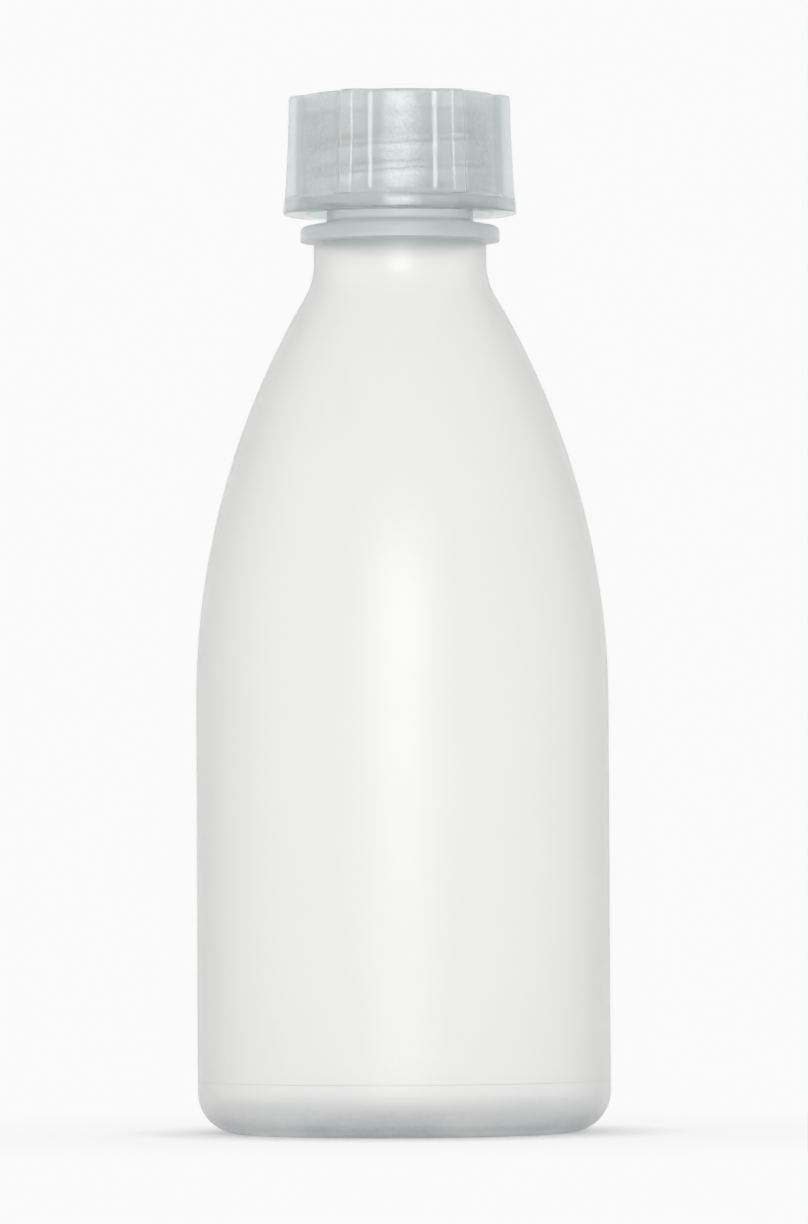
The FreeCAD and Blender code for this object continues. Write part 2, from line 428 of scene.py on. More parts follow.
@dataclass(frozen=True)
class NaturalPlastic:
    """Undyed polyolefin: pale, milky and see-through where it is thin, blue-grey where it is thick.

    Lengths are in millimetres. A share is how far a pattern moves the colour from thin to thick.
    """

    name: str
    thin: str
    thick: str
    clearness: float
    roughness: float
    inner_roughness: float
    ior: float
    cloud_size: float
    cloud_share: float
    streak_size: float
    streak_share: float
    streak_stretch: float
    grain_size: float
    grain_height: float
    inner_clearness: float = 1.0
    mottle_size: float = 1.0
    mottle_share: float = 0.0
    plain_grain: float = 1.0
    grain_roughness: float = 0.06
    gloss: float = 0.0
    gloss_roughness: float = 0.3
    gloss_ior: float = 1.5
    bloom: float = 0.0
    bloom_roughness: float = 0.4
    scatter: float = 0.0
    scatter_depth: float = 1.0

    def patterns(self, tree: NodeTree) -> dict[str, NodeSocket]:
        """Add the noises and marks that the finish is made from.

        Args:
            tree: node tree of the material.

        Returns:
            Each noise and mark by its name.
        """
        place = add_node(tree, "ShaderNodeTexCoord").outputs["Object"]
        drawn = add_node(tree, "ShaderNodeMapping", {
            "Vector": place, "Scale": (1, 1, 1 / self.streak_stretch),
        })
        found = {}
        for name, where, size, detail, roughness in (
            ("cloud", place, self.cloud_size, 3.0, 0.55),
            ("streak", drawn.outputs[0], self.streak_size, 2.0, 0.5),
            ("grain", place, self.grain_size, 2.0, 0.5),
            ("mottle", place, self.mottle_size, 4.0, 0.65),
        ):
            found[name] = add_node(tree, "ShaderNodeTexNoise", {
                "Vector": where, "Scale": 1 / (size * MM), "Detail": detail, "Roughness": roughness,
            }).outputs[0]
        for mark in ("thick", "inside", "haze", "frost"):
            found[mark] = add_node(tree, "ShaderNodeAttribute", attribute_name=mark).outputs["Fac"]
        return found

    def colour(self, tree: NodeTree, found: dict[str, NodeSocket]) -> NodeSocket:
        """Mix the thin and the thick colour by thickness, mottle, clouds and streaks.

        Args:
            tree: node tree of the material.
            found: its noises and marks.

        Returns:
            The colour.
        """
        mean = (self.cloud_share + self.streak_share) * NOISE_MIDDLE
        share = add_node(tree, "ShaderNodeMath", {0: found["thick"], 1: mean}, operation="SUBTRACT")
        spread = add_node(tree, "ShaderNodeMath", {0: found["mottle"], 1: NOISE_MIDDLE}, operation="SUBTRACT")
        frosted = add_node(tree, "ShaderNodeMath", {
            0: spread.outputs[0], 1: found["frost"],
        }, operation="MULTIPLY")
        for pattern, weight in (
            (frosted.outputs[0], self.mottle_share),
            (found["cloud"], self.cloud_share),
            (found["streak"], self.streak_share),
        ):
            share = add_node(tree, "ShaderNodeMath", {
                0: pattern, 1: weight, 2: share.outputs[0],
            }, operation="MULTIPLY_ADD")
        return add_node(tree, "ShaderNodeMix", {
            0: share.outputs[0], 6: linear(self.thin), 7: linear(self.thick),
        }, data_type="RGBA").outputs[2]

    def matt(self, tree: NodeTree, found: dict[str, NodeSocket]) -> NodeSocket:
        """Work out the roughness, which differs inside and varies with the grain.

        Args:
            tree: node tree of the material.
            found: its noises and marks.

        Returns:
            The roughness.
        """
        mean = self.grain_roughness * NOISE_MIDDLE
        least = add_node(tree, "ShaderNodeMapRange", {
            "Value": found["inside"], "To Min": self.roughness - mean, "To Max": self.inner_roughness - mean,
        })
        return add_node(tree, "ShaderNodeMath", {
            0: found["grain"], 1: self.grain_roughness, 2: least.outputs[0],
        }, operation="MULTIPLY_ADD").outputs[0]

    def clear(self, tree: NodeTree, found: dict[str, NodeSocket]) -> NodeSocket:
        """Work out the share of light that passes, which haze lowers and a haze below 0 raises.

        Args:
            tree: node tree of the material.
            found: its noises and marks.

        Returns:
            The share of light that passes.
        """
        most = add_node(tree, "ShaderNodeMapRange", {
            "Value": found["inside"], "To Min": self.clearness, "To Max": self.inner_clearness,
        })
        passed = add_node(tree, "ShaderNodeMath", {0: 1.0, 1: found["haze"]}, operation="SUBTRACT")
        return add_node(tree, "ShaderNodeMath", {
            0: most.outputs[0], 1: passed.outputs[0],
        }, operation="MULTIPLY").outputs[0]

    def material(self) -> bpy.types.Material:
        """Build the finish.

        Returns:
            The material, which reads Object coordinates and the marks "thick", "inside", "haze" and "frost".
        """
        material = bpy.data.materials.new(self.name)
        material.use_nodes = True
        tree = material.node_tree
        shader = tree.nodes["Principled BSDF"]
        found = self.patterns(tree)
        relief = add_node(tree, "ShaderNodeMapRange", {
            "Value": found["frost"], "To Min": self.plain_grain, "To Max": 1.0,
        })
        bump, gloss_bump = (
            add_node(tree, "ShaderNodeBump", {
                "Height": found["grain"], "Distance": self.grain_height * MM, "Strength": strength,
            })
            for strength in (self.plain_grain, relief.outputs[0])
        )
        feeds = {
            "Base Color": self.colour(tree, found),
            "Roughness": self.matt(tree, found),
            "Transmission Weight": self.clear(tree, found),
            "Normal": bump.outputs[0],
            "Coat Normal": gloss_bump.outputs[0],
        }
        for name, socket in feeds.items():
            tree.links.new(socket, shader.inputs[name])
        constants = {
            "IOR": self.ior,
            "Coat Weight": self.gloss,
            "Coat Roughness": self.gloss_roughness,
            "Coat IOR": self.gloss_ior,
            "Sheen Weight": self.bloom,
            "Sheen Roughness": self.bloom_roughness,
            "Subsurface Weight": self.scatter,
            "Subsurface Radius": (1, 1, 1),
            "Subsurface Scale": self.scatter_depth * MM,
        }
        for name, value in constants.items():
            shader.inputs[name].default_value = value
        return material


# Low-density polyethylene, blown into a matt mould: a milky wall with a broad soft highlight,
# faint clouds where the wall varies and faint lines where the hot tube was drawn.
# Its index is below the real 1.51, so that light comes straight through as it does through a hazy wall.
BLOWN_LDPE = NaturalPlastic(
    name="ldpe_blown_natural",
    thin="#FDFDFC",
    thick="#95B3BC",
    clearness=0.85,
    roughness=0.33,
    inner_roughness=0.14,
    ior=1.35,
    cloud_size=16.0,
    cloud_share=0.06,
    streak_size=2.2,
    streak_share=0.03,
    streak_stretch=30.0,
    mottle_size=0.9,
    mottle_share=0.5,
    grain_size=0.5,
    grain_height=0.004,
    bloom=0.3,
)

# Polypropylene, injection moulded: blue-grey and hazy, with crisp glints on its edges
# and a fine speckle, drawn coarser than the real one so that it shows. Its rough inside blurs the thread.
# Its index is below the real 1.49, as the bottle's is, and its gloss makes up for the weaker reflection.
MOULDED_PP = NaturalPlastic(
    name="polypropylene_moulded_natural",
    thin="#FBFEFE",
    thick="#8ABAB8",
    clearness=0.48,
    roughness=0.32,
    inner_roughness=1.0,
    ior=1.2,
    cloud_size=7.0,
    cloud_share=0.16,
    streak_size=1.2,
    streak_share=0.08,
    streak_stretch=8.0,
    mottle_size=0.5,
    mottle_share=1.2,
    grain_size=0.35,
    grain_height=0.1,
    plain_grain=0.04,
    gloss=0.65,
    gloss_roughness=0.08,
    gloss_ior=1.8,
    scatter=1.0,
    scatter_depth=6.0,
)

# Polyethylene foam sheet, punched: plain matt white, with a fine open grain.
PUNCHED_PE = NaturalPlastic(
    name="polyethylene_liner_punched",
    thin="#F4F4F2",
    thick="#DDE0E0",
    clearness=0.12,
    inner_clearness=0.12,
    roughness=0.55,
    inner_roughness=0.55,
    ior=1.5,
    cloud_size=5.0,
    cloud_share=0.1,
    streak_size=1.0,
    streak_share=0.05,
    streak_stretch=1.0,
    grain_size=0.4,
    grain_height=0.02,
    grain_roughness=0.08,
)


class Moulding(ABC):
    """Piece that is turned, or repeated in equal sectors, about the axis of the bottle.

    Each class names its piece and gives its screw thread, if it has one. A piece in sectors also sets
    their number, and the angle in radians that the drawn one is turned by.
    """

    NAME: ClassVar[str]
    THREAD: ClassVar[ScrewThread | None] = None
    MARKS: ClassVar[tuple[str, ...]] = ("thread", "thick", "inside", "haze", "frost")
    sectors: int = 1
    turn: float = 0.0

    @abstractmethod
    def angles(self) -> np.ndarray:
        """Angles of the columns of one sector in radians, rising."""

    @abstractmethod
    def columns(self, angles: np.ndarray) -> np.ndarray:
        """Draw the section at each angle: radius and height in millimetres, by column and point."""

    def marks(self, angles: np.ndarray, columns: np.ndarray) -> Marks:
        """Mark nothing on the piece: every named value is 0 at every column and point."""
        return {mark: np.zeros(columns.shape[:2]) for mark in self.MARKS}

    def build(self, tree: MouldingTree, plastic: bpy.types.Material) -> bpy.types.Object:
        """Make the piece from its sector.

        Args:
            tree: nodes that repeat the sector, weld it and raise its thread.
            plastic: finish of the piece.

        Returns:
            The finished piece.
        """
        angles = self.angles()
        columns = self.columns(angles)
        sector = sector_mesh(self.NAME, angles + self.turn, columns, self.marks(angles, columns))
        return tree.mould(self.NAME, sector, plastic, self.sectors, self.THREAD)


@dataclass
class Bottle(Moulding):
    """Blown shell: base, straight body, long shoulder, neck, flange and threaded neck finish."""

    body_radius: float
    lip_level: float
    straight_side_top: float = 63.5
    base_corner: float = 6.0
    standing_ring: float = 3.5
    base_rise: float = 1.8
    wall: float = 1.2
    base_wall: float = 1.5
    shoulder_radius: float = 118.7
    neck_fillet: float = 9.5
    neck_radius: float = 12.73
    core_radius: float = 10.85
    flange_top: float = 134.8
    mouth_wall: float = 1.65
    flange_overhang: float = 2.04
    flange_edge: float = 2.19
    flange_rise: float = 0.762
    flange_round: float = 0.9
    flange_foot_round: float = 0.2
    neck_round: float = 0.25
    core_round: float = 0.3
    lip_round: float = 0.4
    throat_round: float = 1.2
    throat_rise: float = 0.5
    insert_line: float = 7.7
    line_height: float = 0.042
    line_width: float = 0.24
    # Darker base towards the floor: partly thicker plastic, partly painted shade where the base meets the
    # floor.
    base_tint_and_shade: float = 0.45
    base_tint_and_shade_top: float = 4.8
    base_tint_and_shade_fall: float = 2.3
    frost_top: float = 6.0
    flange_tint: float = 0.35
    flange_haze: float = 0.5
    neck_haze: float = -0.06
    core_haze: float = -0.17
    flange_fade: float = 0.4
    core_fade: float = 0.6
    column_count: int = 168
    step: float = 2.2
    thread_step: float = 0.22

    NAME = "bottle_shell"
    THREAD = ScrewThread(ThreadSide.OUTSIDE, level=145.5, first=-1.55, last=1.05)
    DOME_STEPS: ClassVar[int] = 8
    CORNER_STEPS: ClassVar[int] = 12
    INNER_CORNER_STEPS: ClassVar[int] = 10
    SHOULDER_STEPS: ClassVar[int] = 34
    FILLET_STEPS: ClassVar[int] = 14
    LIP_STEPS: ClassVar[int] = 5
    # Uneven upper edge of the darker base, which is partly thicker plastic and partly painted shade near the
    # floor: height in millimetres, waves in a turn and start of each wave.
    BASE_WAVES: ClassVar[tuple[tuple[float, int, float], ...]] = (
        (0.6, 5, 1.0),
        (0.4, 11, 2.2),
        (0.3, 19, 0.4),
    )

    def __post_init__(self) -> None:
        """Work out the levels and radii that follow from the sizes."""
        self.flange_edge_top = self.flange_top - self.flange_rise
        self.flange_bottom = self.flange_edge_top - self.flange_edge
        self.flange_radius = self.neck_radius + self.flange_overhang
        self.shoulder_centre = (self.body_radius - self.shoulder_radius, self.straight_side_top)
        reach = self.neck_radius + self.neck_fillet - self.shoulder_centre[0]
        rise = math.sqrt((self.shoulder_radius + self.neck_fillet) ** 2 - reach ** 2)
        self.fillet_centre = (self.neck_radius + self.neck_fillet, self.straight_side_top + rise)
        share = self.shoulder_radius / (self.shoulder_radius + self.neck_fillet)
        between = np.array(self.fillet_centre) - self.shoulder_centre
        self.blend = tuple(np.array(self.shoulder_centre) + between * share)
        self.ring_inner = self.body_radius - self.base_corner - self.standing_ring

    def outside(self) -> Outline:
        """Draw the outside.

        Returns:
            The outline from the middle of the base to the edge of the lip.
        """
        drawn = Outline((0.0, self.base_rise), self.step)
        drawn.dome((self.ring_inner, 0.0), (0.0, self.base_rise), self.DOME_STEPS)
        drawn.through([
            (self.body_radius, 0.0, self.base_corner),
            (self.body_radius, self.insert_line - self.line_width, 0),
            (self.body_radius, self.insert_line - self.line_width / 2, 0),
            (self.body_radius + self.line_height, self.insert_line, 0),
            (self.body_radius, self.insert_line + self.line_width / 2, 0),
            (self.body_radius, self.insert_line + self.line_width, 0),
            (self.body_radius, self.straight_side_top, 0),
        ], self.CORNER_STEPS)
        drawn.arc(self.shoulder_centre, self.blend, self.SHOULDER_STEPS)
        drawn.arc(self.fillet_centre, (self.neck_radius, self.fillet_centre[1]), self.FILLET_STEPS)
        drawn.through([
            (self.neck_radius, self.flange_bottom, self.neck_round),
            (self.flange_radius, self.flange_bottom, self.flange_foot_round),
            (self.flange_radius, self.flange_edge_top, self.flange_round),
            (self.core_radius, self.flange_top, self.core_round),
            (self.core_radius, self.flange_top + self.lip_round, 0),
        ])
        drawn.to((self.core_radius, self.lip_level - self.lip_round), self.thread_step)
        rim = self.core_radius - self.lip_round
        drawn.arc((rim, self.lip_level - self.lip_round), (rim, self.lip_level), self.LIP_STEPS)
        return drawn

    def inside(self, drawn: Outline) -> None:
        """Carry an outline on from the lip, down the inside, to the middle of the base.

        Args:
            drawn: outline that ends on the lip.
        """
        mouth = self.core_radius - self.mouth_wall
        side = self.body_radius - self.wall
        neck = self.neck_radius - self.wall
        drawn.through([
            (mouth, self.lip_level, self.lip_round),
            (mouth, self.flange_top, self.throat_round),
            (neck, self.flange_bottom + self.throat_rise, self.throat_round),
            (neck, self.fillet_centre[1], 0),
        ])
        drawn.arc(self.fillet_centre, self.blend, self.FILLET_STEPS)
        drawn.arc(self.shoulder_centre, (side, self.straight_side_top), self.SHOULDER_STEPS)
        drawn.through([
            (side, self.base_wall, self.base_corner - self.wall),
            (self.ring_inner, self.base_wall, 0),
        ], self.INNER_CORNER_STEPS)
        drawn.dome((self.ring_inner, self.base_wall), (0.0, self.base_rise + self.base_wall), self.DOME_STEPS)

    def angles(self) -> np.ndarray:
        """Space the columns round the axis, closer at the two lines where the mould halves met.

        Returns:
            Angles of the columns in radians, rising.
        """
        width = self.line_width / self.body_radius
        near = np.array([-1.0, -0.5, 0.0, 0.5, 1.0]) * width
        even = np.linspace(0, FULL_TURN, self.column_count, endpoint=False) + math.pi / self.column_count
        lines = np.concatenate([near[2:], near + math.pi, near[:3] + FULL_TURN])
        return np.unique(np.concatenate([even, lines]))

    def columns(self, angles: np.ndarray) -> np.ndarray:
        """Repeat the section at each angle, raised at the two lines where the mould halves met.

        Args:
            angles: angles of the columns.

        Returns:
            Radius and height by column and point.
        """
        drawn = self.outside()
        outer = len(drawn.points)
        self.inside(drawn)
        columns = drawn.repeated(len(angles))
        height = columns[0, :, 1]
        on_skin = (height > self.base_corner / 2) & (height < self.flange_bottom)
        on_skin &= np.arange(len(height)) < outer
        aside = np.abs((angles + math.pi / 2) % math.pi - math.pi / 2) * self.body_radius
        seam = np.clip(1 - aside / (self.line_width / 2), 0, 1) * self.line_height
        columns[..., 0] += seam[:, None] * on_skin
        return columns

    def marks(self, angles: np.ndarray, columns: np.ndarray) -> Marks:
        """Mark where the wall is thick, hazy, frosted, inside or threaded.

        Args:
            angles: angles of the columns.
            columns: radius and height by column and point.

        Returns:
            Named values by column and point.
        """
        radius, height = columns[0].T
        inside = np.arange(len(height)) >= len(self.outside().points)
        flange = smooth_step(self.flange_bottom - self.flange_fade, self.flange_bottom, height)
        flange *= smooth_step(self.flange_top + self.core_fade, self.flange_top, height)
        neck = smooth_step(self.fillet_centre[1] - self.neck_fillet, self.fillet_centre[1], height)
        core = smooth_step(self.flange_top, self.flange_top + self.core_fade, height)
        clearer = self.neck_haze * neck * (1 - core) + self.core_haze * core
        haze = self.flange_haze * flange + clearer * (1 - flange)
        profile = {
            "thread": ~inside & (np.abs(radius - self.core_radius) < SAME),
            "inside": inside,
            "haze": haze * ~inside,
            "frost": smooth_step(self.frost_top, self.frost_top / 2, height),
        }
        marks = {mark: np.tile(values, (len(angles), 1)) for mark, values in profile.items()}
        # The thick mark darkens the base towards the floor: partly thicker plastic, partly painted shade.
        edge = sum(size * np.sin(count * angles + start) for size, count, start in self.BASE_WAVES)
        depth = np.clip(1 - (height[None] + edge[:, None]) / self.base_tint_and_shade_top, 0, 1)
        marks["thick"] = np.maximum(self.base_tint_and_shade * depth ** self.base_tint_and_shade_fall, self.flange_tint * flange)
        return marks


@dataclass
class BaseWeld:
    """Pinch line across the underside, where the mould closed the end of the hot tube."""

    bottle: Bottle
    half_length: float = 16.0
    width: float = 0.9
    height: float = 0.3
    root: float = 0.25
    taper: float = 3.0
    blunt_end: float = 0.02
    tint: float = 0.6
    steps: int = 40
    sides: int = 12

    def build(self, plastic: bpy.types.Material) -> bpy.types.Object:
        """Make the ridge.

        Args:
            plastic: finish of the bottle.

        Returns:
            The finished ridge, let into the base.
        """
        along = np.linspace(-self.half_length, self.half_length, self.steps + 1)
        around = np.linspace(0, FULL_TURN, self.sides, endpoint=False)
        level = self.bottle.base_rise * (1 - (along / self.bottle.ring_inner) ** 2)
        swell = np.sqrt(np.clip((self.half_length - np.abs(along)) / self.taper, 0, 1))
        ends = swell * (1 - self.blunt_end) + self.blunt_end
        x = np.repeat(along[:, None], self.sides, axis=1)
        y = ends[:, None] * self.width / 2 * np.cos(around)
        lift = np.where(np.sin(around) < 0, self.height, self.root) * np.sin(around)
        z = level[:, None] + ends[:, None] * lift
        points = np.stack([x, y, z], axis=-1).reshape(-1, 3) * MM
        faces = [list(range(self.sides))[::-1], list(range(len(points) - self.sides, len(points)))]
        for row in range(0, self.steps * self.sides, self.sides):
            for side in range(self.sides):
                here, beside = row + side, row + (side + 1) % self.sides
                faces.append([here, beside, beside + self.sides, here + self.sides])
        mesh = bpy.data.meshes.new("base_weld_line")
        mesh.from_pydata(points.tolist(), [], faces)
        mesh.attributes.new("thick", "FLOAT", "POINT").data.foreach_set("value", [self.tint] * len(points))
        mesh.materials.append(plastic)
        mesh.shade_smooth()
        return add_object("base_weld_line", mesh)


@dataclass
class ScrewCap(Moulding):
    """Moulded cap: crowned top plate, drafted skirt with six grip ribs, and a collar at the foot."""

    bottom: float
    crown_level: float
    plate_underside: float
    collar_reach: float
    bore: float = 12.75
    skirt_wall: float = 1.61
    crown: float = 0.4
    crown_reach: float = 13.36
    draft_deg: float = 1.5
    mouth_chamfer: float = 1.2
    collar_height: float = 2.3
    collar_flare: float = 0.23
    collar_round: float = 0.35
    collar_land: float = 0.07
    ledge_fillet: float = 0.9
    ribs: int = 6
    rib_height_top: float = 2.06
    rib_height_foot: float = 2.33
    rib_bow: float = 0.16
    rib_face: float = 1.8
    rib_root: float = 5.28
    rib_top_drop: float = 0.06
    rib_edge_blend: float = 0.25
    rib_root_blend: float = 0.7
    top_round: float = 0.55
    grip_turn_deg: float = 1.6
    collar_tint: float = 0.3
    collar_haze: float = -0.8
    recess_tint: float = 0.26
    rib_tint: float = 0.15
    rib_haze: float = -0.15
    frost_half_deg: float = 12.0
    frost_fade_deg: float = 3.0
    frost_middle: float = 5.0
    frost_blur: float = 2.0
    frost_least: float = 0.5
    rib_frost: float = 0.3
    rib_frost_from: float = 0.6
    rib_frost_full: float = 0.9
    gate_radius: float = 1.3
    gate_floor: float = 0.91
    gate_depth: float = 0.15
    step: float = 3.0
    bore_step: float = 0.22

    NAME = "screw_cap_moulding"
    # It runs midway between the turns of the neck's thread.
    THREAD = ScrewThread(ThreadSide.INSIDE, level=143.5, first=-1.3, last=1.6, foot=1.6, crest=0.6)
    RIB_COLUMNS: ClassVar[int] = 41
    RECESS_COLUMNS: ClassVar[int] = 10
    # Where the columns of a rib end and those of a recess begin, as shares of half the angle of the root.
    RIB_END: ClassVar[float] = 1.2
    RECESS_START: ClassVar[float] = 1.25
    ROUND_STEPS: ClassVar[int] = 7
    WALL_STEPS: ClassVar[int] = 26
    # Least room in millimetres between the skirt and the collar's edge, and the share that a fillet may take.
    LEAST_ROOM: ClassVar[float] = 0.02
    FILLET_SHARE: ClassVar[float] = 0.8
    # Rings of points on the top, as shares of the radius of its edge, closer at the gate mark.
    TOP_RINGS: ClassVar[tuple[float, ...]] = (*np.linspace(0.93, 0.2, 9), 0.11, 0.095, 0.08, 0.065, 0.05, 0.0)

    def __post_init__(self) -> None:
        """Work out the levels and radii that follow from the sizes."""
        self.edge = self.crown_level - self.crown
        self.ledge = self.bottom + self.collar_height
        self.skirt_top = self.bore + self.skirt_wall
        self.skirt_foot = self.skirt_top + (self.edge - self.ledge) * math.tan(math.radians(self.draft_deg))
        self.sectors = self.ribs
        self.turn = math.radians(self.grip_turn_deg - 90 + 180 / self.ribs)

    def angles(self) -> np.ndarray:
        """Space the columns over one sector, closer on the rib in its middle.

        Returns:
            Angles of the columns from the middle of the rib in radians, rising.
        """
        half = math.pi / self.ribs
        root = math.asin(self.rib_root / 2 / self.skirt_foot)
        recess = np.linspace(root * self.RECESS_START, half, self.RECESS_COLUMNS)
        rib = np.linspace(-root * self.RIB_END, root * self.RIB_END, self.RIB_COLUMNS)
        return np.concatenate([-recess[::-1], rib, recess])

    def wall_radius(self, angle: np.ndarray, height: np.ndarray) -> np.ndarray:
        """Radius of the skirt's outside, with the rib that stands at angle 0.

        Args:
            angle: angle from the middle of the rib in radians.
            height: height in millimetres.

        Returns:
            Radius in millimetres.
        """
        share = (height - self.ledge) / (self.edge - self.ledge)
        floor = self.skirt_foot + (self.skirt_top - self.skirt_foot) * share
        rib = self.rib_height_foot + (self.rib_height_top - self.rib_height_foot) * share
        face = floor + rib - self.rib_bow * 4 * share * (1 - share)
        root = np.sqrt(floor ** 2 - (self.rib_root / 2) ** 2)
        lean = (self.rib_root - self.rib_face) / 2 / (face - root)
        flank = (self.rib_face / 2 + face * lean) / (np.sin(np.abs(angle)) + np.cos(angle) * lean)
        rib = soft_least(face, flank, self.rib_edge_blend)
        return -soft_least(-floor, -rib, self.rib_root_blend)

    def top_level(self, radius: np.ndarray) -> np.ndarray:
        """Height of the crowned top, with the mark of the moulding gate in its middle.

        Args:
            radius: radius in millimetres.

        Returns:
            Height in millimetres.
        """
        gate = self.gate_depth * smooth_step(self.gate_radius, self.gate_floor, radius)
        dome = self.crown * np.clip(1 - (radius / self.crown_reach) ** 2, 0, 1)
        drop = self.rib_top_drop * smooth_step(self.skirt_top, self.skirt_top + self.rib_height_top, radius)
        return self.edge + dome - drop - gate

    def foot(self) -> Outline:
        """Draw what is the same at each angle: the underside of the top, the bore and the collar.

        Returns:
            The outline from the middle of the underside to the edge of the ledge on the collar.
        """
        drawn = Outline((0.0, self.plate_underside), self.step)
        drawn.to((self.bore, self.plate_underside))
        drawn.to((self.bore, self.bottom + self.mouth_chamfer), self.bore_step)
        collar = self.collar_reach - self.collar_flare
        drawn.through([
            (self.bore + self.mouth_chamfer, self.bottom, 0),
            (self.collar_reach, self.bottom, self.collar_round),
            (collar, self.ledge, self.collar_round),
            (collar - self.collar_round - self.collar_land, self.ledge, 0),
        ])
        return drawn

    def columns(self, angles: np.ndarray) -> np.ndarray:
        """Draw the section at each angle, from the middle of the underside to the middle of the top.

        Args:
            angles: angles from the middle of the rib.

        Returns:
            Radius and height by column and point.
        """
        foot = self.foot().repeated(len(angles))

        # Fillet between the ledge on the collar and the wall.
        root = self.wall_radius(angles, np.full_like(angles, self.ledge))[:, None]
        room = np.clip(foot[:, -1:, 0] - root, self.LEAST_ROOM, None)
        fillet = np.minimum(self.ledge_fillet, room * self.FILLET_SHARE)
        turn = np.linspace(math.pi / 2, 0, self.ROUND_STEPS + 1)[None]
        ledge_height = self.ledge + fillet * (1 - np.sin(turn))
        ledge_radius = self.wall_radius(angles[:, None], ledge_height) + fillet * (1 - np.cos(turn))

        # Wall with its rib, up to the rounded edge of the top.
        brow = self.edge - self.top_round
        rim = self.wall_radius(angles, np.full_like(angles, brow))[:, None]
        brow_level = self.top_level(rim - self.top_round) - self.top_round
        share = np.linspace(0, 1, self.WALL_STEPS + 1)[None, 1:]
        wall_height = ledge_height[:, -1:] + (brow_level - ledge_height[:, -1:]) * share
        wall_radius = self.wall_radius(angles[:, None], wall_height)

        # Rounded edge, and the top inside it.
        turn = np.linspace(0, math.pi / 2, self.ROUND_STEPS + 1)[None, 1:]
        edge_radius = wall_radius[:, -1:] - self.top_round * (1 - np.cos(turn))
        edge_height = brow_level + self.top_round * np.sin(turn)
        top_radius = edge_radius[:, -1:] * np.array(self.TOP_RINGS)[None]
        top_height = self.top_level(top_radius)

        radius = np.concatenate([foot[..., 0], ledge_radius, wall_radius, edge_radius, top_radius], axis=1)
        height = np.concatenate([foot[..., 1], ledge_height, wall_height, edge_height, top_height], axis=1)
        return np.stack([radius, height], axis=-1)

    def marks(self, angles: np.ndarray, columns: np.ndarray) -> Marks:
        """Mark where the cap is thick, clear, frosted, inside or threaded.

        Args:
            angles: angles from the middle of the rib.
            columns: radius and height by column and point.

        Returns:
            Named values by column and point.
        """
        radius, height = columns[..., 0], columns[..., 1]
        inside = np.tile(np.arange(radius.shape[1]) < np.argmin(height[0]), (len(angles), 1))
        on_bore = (np.abs(radius - self.bore) < SAME) & (height > self.bottom)
        skirt = self.wall_radius(np.full_like(height, math.pi / self.ribs), height)
        rib = np.clip((radius - skirt) / self.rib_height_top, 0, 1) * (height > self.ledge)
        tint = self.recess_tint + (self.rib_tint - self.recess_tint) * rib
        aside = np.degrees(math.pi / self.ribs - np.abs(angles))
        low, high = self.frost_half_deg - self.frost_fade_deg, self.frost_half_deg + self.frost_fade_deg
        across = smooth_step(high, low, aside)[:, None]
        upright = np.abs(height - (self.ledge + self.edge) / 2)
        low, high = self.frost_middle - self.frost_blur, self.frost_middle + self.frost_blur
        middle = smooth_step(high, low, upright)
        recess_frost = across * (self.frost_least + (1 - self.frost_least) * middle)
        rib_frost = self.rib_frost * smooth_step(self.rib_frost_from, self.rib_frost_full, rib)
        return {
            "thread": on_bore & (height < self.plate_underside - self.top_round),
            "inside": inside,
            "haze": np.where(height <= self.ledge, self.collar_haze, self.rib_haze * rib) * ~inside,
            "frost": np.maximum(recess_frost, rib_frost) * ~inside,
            "thick": np.where(height <= self.ledge, self.collar_tint, tint) * ~inside,
        }


@dataclass
class SealingDisc(Moulding):
    """Flat liner in the cap, with the shallow ring that the lip of the neck presses into it."""

    radius: float
    bottom: float
    top: float
    lip_inner: float = 9.2
    lip_outer: float = 10.85
    dent: float = 0.06
    dent_reach: float = 0.2
    dent_inset: float = 0.1
    dent_round: float = 0.05
    seat_gap: float = 0.05
    edge_round: float = 0.2
    column_count: int = 96
    step: float = 2.5

    NAME = "liner_disc"
    ROUND_STEPS: ClassVar[int] = 4

    def angles(self) -> np.ndarray:
        """Angles of the columns, evenly round the axis."""
        return np.linspace(0, FULL_TURN, self.column_count + 1)

    def columns(self, angles: np.ndarray) -> np.ndarray:
        """Repeat the section at each angle.

        Args:
            angles: angles of the columns.

        Returns:
            Radius and height by column and point.
        """
        top = self.top - self.seat_gap
        drawn = Outline((0.0, self.bottom), self.step)
        drawn.through([
            (self.lip_inner - self.dent_reach, self.bottom, 0),
            (self.lip_inner + self.dent_inset, self.bottom + self.dent, self.dent_round),
            (self.lip_outer - self.dent_inset, self.bottom + self.dent, self.dent_round),
            (self.lip_outer + self.dent_reach, self.bottom, 0),
            (self.radius, self.bottom, self.edge_round),
            (self.radius, top, self.edge_round),
            (0.0, top, 0),
        ], self.ROUND_STEPS)
        return drawn.repeated(len(angles))


